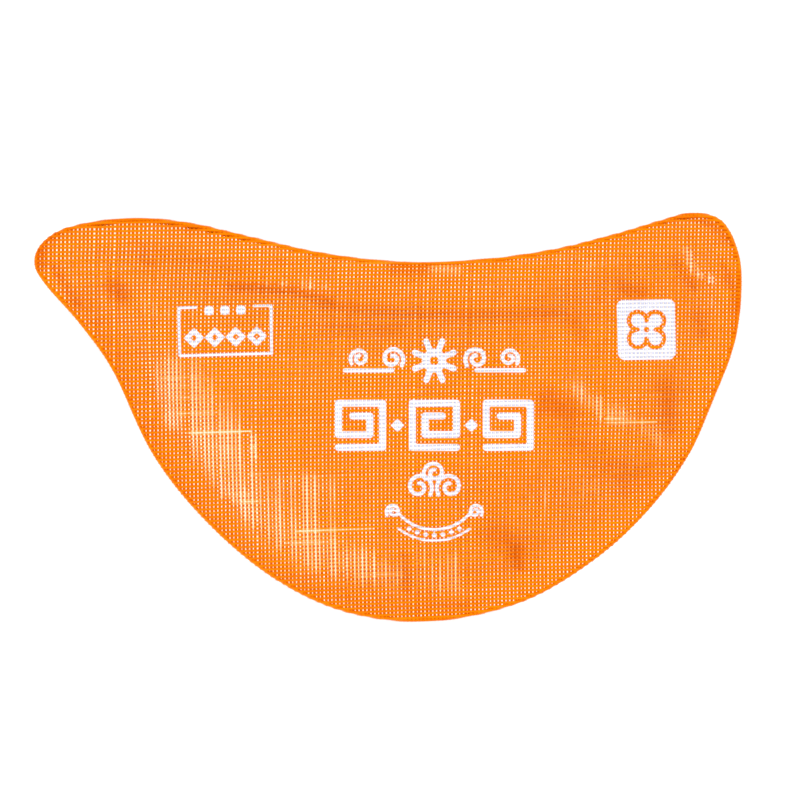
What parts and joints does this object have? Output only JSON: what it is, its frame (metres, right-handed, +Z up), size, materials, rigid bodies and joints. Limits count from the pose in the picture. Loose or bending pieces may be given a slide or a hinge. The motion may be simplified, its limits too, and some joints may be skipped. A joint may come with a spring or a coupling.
{
  "type": "woven mesh food packet",
  "caption": "Closed crescent-shaped packet of open woven mesh round a filled white film pouch, with a flat rim and a turned edge, lying flat on its back.",
  "frame": {"origin": "middle of the packet's box in plan, on the surface that its back lies on", "axes": "+X along the packet to its right horn, +Y in the plan towards its hollow edge, +Z up out of its printed front"},
  "size_m": [0.1394, 0.0808, 0.0121],
  "materials": {
    "front_mesh": "glossy woven plastic yarn, orange, with white print",
    "back_mesh": "glossy woven plastic yarn, orange, unprinted",
    "inner_pouch": "white satin film"
  },
  "bodies": {
    "root": {"front_mesh": "front_mesh", "back_mesh": "back_mesh", "inner_pouch": "inner_pouch"}
  },
  "joints": []
}
